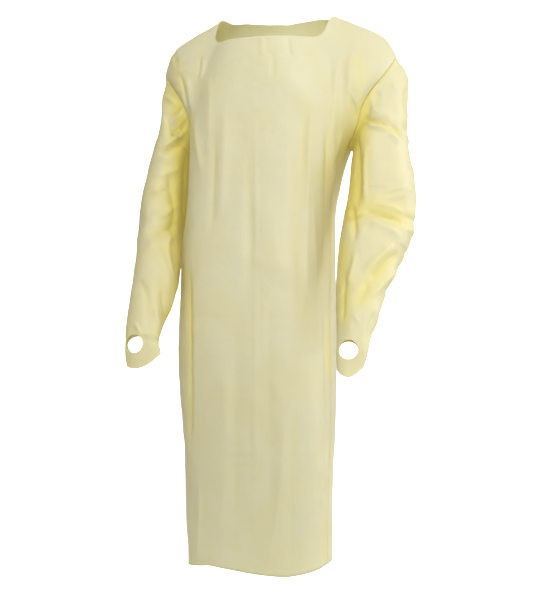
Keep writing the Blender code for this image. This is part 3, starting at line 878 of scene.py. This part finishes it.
def cages():
    """The four cages, each with whether its rows close and the sign that turns its normals outward."""
    return {
        "front": (panel_cage(True), False, 1),
        "back": (panel_cage(False), False, -1),
        "sleeve_left": (sleeve_cage(SLEEVE_LEFT, 1), True, -1),
        "sleeve_right": (sleeve_cage(SLEEVE_RIGHT, -1), True, 1),
    }


def folded(name, times, tables, crumple):
    """Fine grid of a piece with its folds, and a fourth value for how much painted yellow shade the cloth
    gets.
    """
    sizes = bpy.context.scene.gown_sizes
    every = cages()
    cage, closed, sign = every[name]
    close = closed_in(list(every.values()))[list(every).index(name)]
    grid = finer(np.concatenate((cage, close[..., None]), axis=-1), times[1], closed=False)
    grid = finer(grid.swapaxes(0, 1), times[0], closed).swapaxes(0, 1)
    grid, close = grid[..., :3], grid[..., 3]
    normals = outward(grid, closed) * sign
    across, up = travelled(grid, 1), travelled(grid, 0)
    if closed:
        seams = [(up, across)]
    else:
        seams = [(across, up), (across[:, -1:] - across, up), (up[-1:] - up, across)]
    near = np.min([distance for distance, _ in seams], axis=0)
    free = smooth(near, 0, SEAM_STILL)
    drawn = [folds(grid, normals, table, where) for where, table in tables]
    where, patches = SHADE_PATCHES[name]
    out = sum(height for height, _ in drawn) * sizes.fold_depth * FOLD_SHARE[name] * free
    # Painted yellow shade: a little over the whole piece, more where it faces other cloth, in fold troughs,
    # along seams and at the listed patches.
    shade_paint = PAINTED_SHADE_PLAIN[name] + PAINTED_SHADE_CLOSE[name] * close + PAINTED_SHADE_TROUGH * sum(tint for _, tint in drawn)
    shade_paint += PAINTED_SHADE_SEAM * np.exp(-near / SEAM_WELT) + shade_patch_amounts(grid, normals, patches, where)
    out += unevenness(grid) * crumple * free + sum(welt(*seam) for seam in seams)
    out -= sizes.inset * free
    grid = grid + normals * out[..., None]
    return np.concatenate((grid, shade_paint[..., None]), axis=-1)


def make_panel(name, tables):
    """A front or back panel: (points, faces), with the neck opening cut out."""
    front = name == "front"
    grid = folded(name, PANEL_FINER, tables, CRUMPLE[0])
    grid[..., 2] -= hem_drop(grid)
    if not front:
        middle, half, height = BACK_LIFT
        lift = height * smooth(1 - np.abs(grid[..., 0] - middle) / half, 0, 1)
        grid[..., 2] += lift * smooth(grid[..., 2], *LIFT_UP) * smooth(grid[..., 1], *LIFT_BACK)
    points = grid.reshape(-1, 4)
    faces = grid_faces(*grid.shape[:2], closed=False, flip=not front)
    return clip(points, faces, neck_keep(points[:, :3], front))


def make_sleeve(name, side, tables, hole):
    """A sleeve: (points, faces), with its thumb hole cut out."""
    grid = folded(name, SLEEVE_FINER, tables, CRUMPLE[1])
    rings, turns = grid.shape[:2]
    behind = smooth(-np.sin(2 * math.pi * np.arange(turns) / turns), *MOUTH_BACK)
    grid[..., 2] += MOUTH_LIFT * behind * smooth(np.arange(rings) / rings, *MOUTH_END)[:, None]
    points = grid.reshape(-1, 4)
    faces = grid_faces(*grid.shape[:2], closed=True, flip=side > 0)
    return clip(points, faces, thumb_keep(points[:, :3], hole))


# ---------------------------------------------------------------- materials


def add_node(tree, kind, settings=None, links=None):
    """Adds a node, sets its own settings and its sockets' values by name, and links sockets to it."""
    node = tree.nodes.new(kind)
    for name, value in (settings or {}).items():
        if isinstance(name, str) and hasattr(node, name) and name not in node.inputs:
            setattr(node, name, value)
        else:
            node.inputs[name].default_value = value
    for name, socket in (links or {}).items():
        tree.links.new(socket, node.inputs[name])
    return node


def nonwoven(bare):
    """Spunbonded polypropylene with a thin polyethylene coat on its outer face: matt and a little slick, pale
    where light falls on it.
    A yellow is painted into its colour as painted shade and painted light: the shade in creases and near
    other cloth, and the light that comes through more cloth. The bare inner face is duller."""
    name = "Spunbonded polypropylene, " + ("bare face" if bare else "coated face")
    material = bpy.data.materials.get(name)
    if material:
        return material
    colours = bpy.context.scene.gown_colours
    plain, dull, shade_yellow = (getattr(colours, c) for c in (INNER_COLOURS if bare else OUTER_COLOURS))
    material = bpy.data.materials.new(name)
    material.use_nodes = True
    tree = material.node_tree
    tree.nodes.clear()
    place = add_node(tree, "ShaderNodeTexCoord").outputs["Object"]
    # The fibres lie in thicker and thinner patches.
    patches = add_node(
        tree,
        "ShaderNodeTexNoise",
        {"Scale": 1 / FIBRE_PATCH, "Detail": 4, "Roughness": 0.6},
        {"Vector": place},
    )
    tint = add_node(
        tree,
        "ShaderNodeMix",
        {"data_type": "RGBA", 6: (*plain, 1), 7: (*dull, 1)},
        {0: patches.outputs["Fac"]},
    )
    # Painted shade and painted light: the full yellow that light takes on between layers of cloth, which it
    # passes several times, is painted into the face's colour by an amount stored on each point.
    warmth = add_node(tree, "ShaderNodeAttribute", {"attribute_name": "warmth"})
    face_colour = add_node(
        tree,
        "ShaderNodeMix",
        {"data_type": "RGBA", 7: (*shade_yellow, 1)},
        {0: warmth.outputs["Fac"], 6: tint.outputs[2]},
    )
    # The bond points lie about 1 mm apart. They are drawn 2.5 mm apart, so that they show.
    bonds = add_node(
        tree,
        "ShaderNodeTexVoronoi",
        {"Scale": 1 / BOND_SPACING, "Randomness": BOND_RATIO},
        {"Vector": place},
    )
    crumple = add_node(
        tree,
        "ShaderNodeTexNoise",
        {"Scale": 1 / CRUMPLE_SIZE, "Detail": 5, "Roughness": 0.55},
        {"Vector": place},
    )
    height = add_node(
        tree,
        "ShaderNodeMath",
        {"operation": "MULTIPLY_ADD", 1: BOND_HEIGHT},
        {0: bonds.outputs["Distance"], 2: crumple.outputs["Fac"]},
    )
    bump = add_node(tree, "ShaderNodeBump", BUMP, {"Height": height.outputs[0]})
    shine = add_node(
        tree,
        "ShaderNodeMapRange",
        BARE_ROUGHNESS if bare else COATED_ROUGHNESS,
        {"Value": crumple.outputs["Fac"]},
    )
    face = add_node(
        tree,
        "ShaderNodeBsdfPrincipled",
        {"IOR": 1.49, "Sheen Weight": 0.15, "Sheen Roughness": 0.5},
        {"Base Color": face_colour.outputs[2], "Roughness": shine.outputs[0], "Normal": bump.outputs[0]},
    )
    light = add_node(
        tree,
        "ShaderNodeMix",
        {"data_type": "RGBA", "blend_type": "MULTIPLY", 7: (*colours.through, 1), 0: 1},
        {6: face_colour.outputs[2]},
    )
    through = add_node(
        tree, "ShaderNodeBsdfTranslucent", None, {"Color": light.outputs[2], "Normal": bump.outputs[0]}
    )
    cloth = add_node(
        tree, "ShaderNodeMixShader", {"Fac": LIGHT_SHARE}, {1: face.outputs[0], 2: through.outputs[0]}
    )
    add_node(tree, "ShaderNodeOutputMaterial", None, {"Surface": cloth.outputs[0]})
    return material


def paper(name="Matt white studio paper"):
    """Matt white studio paper."""
    material = bpy.data.materials.new(name)
    material.use_nodes = True
    shader = material.node_tree.nodes["Principled BSDF"]
    shader.inputs["Base Color"].default_value = (*bpy.context.scene.gown_studio.paper, 1)
    shader.inputs["Roughness"].default_value = PAPER_ROUGHNESS
    return material


def opal_acrylic():
    """Opal acrylic sheet of a product table, as pale and matt as paper and lit from behind: an even white."""
    material = paper("Opal acrylic sheet, lit from behind")
    shader = material.node_tree.nodes["Principled BSDF"]
    shader.inputs["Emission Color"].default_value = (1, 1, 1, 1)
    shader.inputs["Emission Strength"].default_value = bpy.context.scene.gown_studio.glow
    return material


def cloth_piece(name, points, faces, nodes, rests_on):
    """Makes a piece of cloth, and hides the solids that it stands for."""
    mesh = bpy.data.meshes.new(f"{name}_cloth")
    mesh.from_pydata([p[:3] for p in points], [], faces)
    mesh.attributes.new("warmth", "FLOAT", "POINT").data.foreach_set("value", [p[3] for p in points])
    mesh.shade_smooth()
    for bare in (False, True):
        mesh.materials.append(nonwoven(bare))
    piece = bpy.data.objects.new(f"{name}_cloth", mesh)
    bpy.context.scene.collection.objects.link(piece)
    shell = piece.modifiers.new("Cloth thickness", "SOLIDIFY")
    shell.thickness = bpy.context.scene.gown_sizes.thickness
    shell.offset = -1
    shell.material_offset = 1  # the inner face shows the cloth's bare side
    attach(piece, "root")
    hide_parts(*nodes)


# ---------------------------------------------------------------- operators


class GOWN_OT_front(bpy.types.Operator):
    """Makes the front panel with its straight-cut neck"""

    bl_idname = "gown.front"
    bl_label = "Front panel"

    def execute(self, context):
        cloth_piece("front", *make_panel("front", (("front", FRONT_FOLDS), *SIDES)), ["front"], ["back"])
        return {"FINISHED"}


class GOWN_OT_back(bpy.types.Operator):
    """Makes the back panel, closed from the neck to the hem"""

    bl_idname = "gown.back"
    bl_label = "Back panel"

    def execute(self, context):
        cloth_piece("back", *make_panel("back", (("behind", BACK_FOLDS), *SIDES)), ["back"], ["front"])
        return {"FINISHED"}


class GOWN_OT_sleeves(bpy.types.Operator):
    """Makes the two sleeves with their thumb holes"""

    bl_idname = "gown.sleeves"
    bl_label = "Sleeves"

    def execute(self, context):
        rows = (
            ("sleeve_left", 1, LEFT_FOLDS, LEFT_FAR_FOLDS, ("left", LEFT_OUTER_FOLDS), THUMB_LEFT),
            ("sleeve_right", -1, RIGHT_FOLDS, RIGHT_FAR_FOLDS, ("right", RIGHT_OUTER_FOLDS), THUMB_RIGHT),
        )
        for name, side, near, far, outer, hole in rows:
            made = make_sleeve(name, side, (("front", near), ("behind", far), outer), hole)
            cloth_piece(name, *made, [f"{name}_{part}" for part in SLEEVE_LENGTHS], ["front", "back"])
        return {"FINISHED"}


def add_lamp(power, name, place, aim, size, spread):
    data = bpy.data.lights.new(name, "AREA")
    data.shape = "RECTANGLE"
    data.size, data.size_y = size
    data.spread = math.radians(spread)
    data.energy = power
    lamp = bpy.data.objects.new(name, data)
    lamp.location = place
    lamp.rotation_euler = (Vector(aim) - Vector(place)).to_track_quat("-Z", "Y").to_euler()
    bpy.context.scene.collection.objects.link(lamp)


def stage_object(name, points, faces, material, turn):
    mesh = bpy.data.meshes.new(name)
    mesh.from_pydata(points, [], faces)
    mesh.shade_smooth()
    mesh.materials.append(material)
    piece = bpy.data.objects.new(name, mesh)
    piece.rotation_euler.z = turn
    bpy.context.scene.collection.objects.link(piece)


def make_floor(turn):
    """Plain floor under the gown, and behind it a lit sheet that curves up into a backdrop."""
    around = ((-1, -1), (1, -1), (1, 1), (-1, 1))
    corners = [(x * FLOOR_SIZE, y * FLOOR_SIZE, FLOOR_Z - SHEET_CLEAR) for x, y in around]
    stage_object("studio_floor", corners, [(0, 1, 2, 3)], paper(), turn)
    profile = [(SHEET_START, FLOOR_Z), (BACKDROP_Y - SWEEP, FLOOR_Z)]
    for i in range(1, SWEEP_STEPS + 1):
        angle = math.pi / 2 * i / SWEEP_STEPS
        reach, rise = SWEEP * math.sin(angle), SWEEP * (1 - math.cos(angle))
        profile.append((BACKDROP_Y - SWEEP + reach, FLOOR_Z + rise))
    profile.append((BACKDROP_Y, FLOOR_Z + BACKDROP_HIGH))
    points = [(side * SHEET_HALF, y, z) for y, z in profile for side in (-1, 1)]
    faces = [(2 * i, 2 * i + 1, 2 * i + 3, 2 * i + 2) for i in range(len(profile) - 1)]
    stage_object("studio_sweep", points, faces, opal_acrylic(), turn)


class GOWN_OT_stage(bpy.types.Operator):
    """Makes the plain floor and backdrop, the lamps and the camera"""

    bl_idname = "gown.stage"
    bl_label = "Studio"

    def execute(self, context):
        scene = context.scene
        settings = scene.gown_studio
        turn = math.radians(CAMERA_TURN)

        make_floor(turn)
        for row in LAMPS:
            lamp = dict(zip(LAMP_FIELDS, row))
            add_lamp(getattr(settings, lamp["name"] + "_power"), **lamp)

        scene.world = bpy.data.worlds.new("white studio")
        scene.world.use_nodes = True
        tree = scene.world.node_tree
        way = add_node(tree, "ShaderNodeTexCoord").outputs["Generated"]
        across = add_node(tree, "ShaderNodeSeparateXYZ", links={"Vector": way}).outputs["X"]
        left, right = (settings.room * share for share in ROOM_SIDES)
        bright = add_node(
            tree, "ShaderNodeMapRange", {"From Min": -1, "To Min": left, "To Max": right}, {"Value": across}
        )
        tree.nodes["Background"].inputs["Color"].default_value = (1, 1, 1, 1)
        tree.links.new(bright.outputs[0], tree.nodes["Background"].inputs["Strength"])
        scene.view_settings.view_transform = "Standard"

        camera = bpy.data.objects.new("camera", bpy.data.cameras.new("camera"))
        camera.location = (CAMERA_REACH * math.sin(turn), -CAMERA_REACH * math.cos(turn), CAMERA_Z)
        camera.rotation_euler = (math.pi / 2, 0, turn)
        camera.data.sensor_width = SENSOR
        camera.data.lens = LENS
        camera.data.shift_x = LENS_SHIFT
        scene.collection.objects.link(camera)
        scene.camera = camera
        return {"FINISHED"}


class GOWN_PT_sidebar(bpy.types.Panel):
    """Lists the gown's pieces and settings"""

    bl_label = "Isolation gown"
    bl_idname = "GOWN_PT_sidebar"
    bl_space_type = "VIEW_3D"
    bl_region_type = "UI"
    bl_category = "Gown"

    def draw(self, context):
        for operator in OPERATORS:
            self.layout.operator(operator.bl_idname)
        for group in (context.scene.gown_sizes, context.scene.gown_colours, context.scene.gown_studio):
            for name in group.bl_rna.properties.keys():
                if name not in ("rna_type", "name"):
                    self.layout.prop(group, name)


OPERATORS = (GOWN_OT_stage, GOWN_OT_front, GOWN_OT_back, GOWN_OT_sleeves)
GROUPS = {"gown_sizes": GownSizes, "gown_colours": GownColours, "gown_studio": StudioSettings}


def register():
    for item in (*GROUPS.values(), *OPERATORS, GOWN_PT_sidebar):
        bpy.utils.register_class(item)
    for name, group in GROUPS.items():
        setattr(bpy.types.Scene, name, bpy.props.PointerProperty(type=group))


def unregister():
    for name in GROUPS:
        delattr(bpy.types.Scene, name)
    for item in (GOWN_PT_sidebar, *OPERATORS, *GROUPS.values()):
        bpy.utils.unregister_class(item)


def main():
    register()
    bpy.ops.gown.stage()
    bpy.ops.gown.back()
    bpy.ops.gown.front()
    bpy.ops.gown.sleeves()


if __name__ == "__main__":
    main()
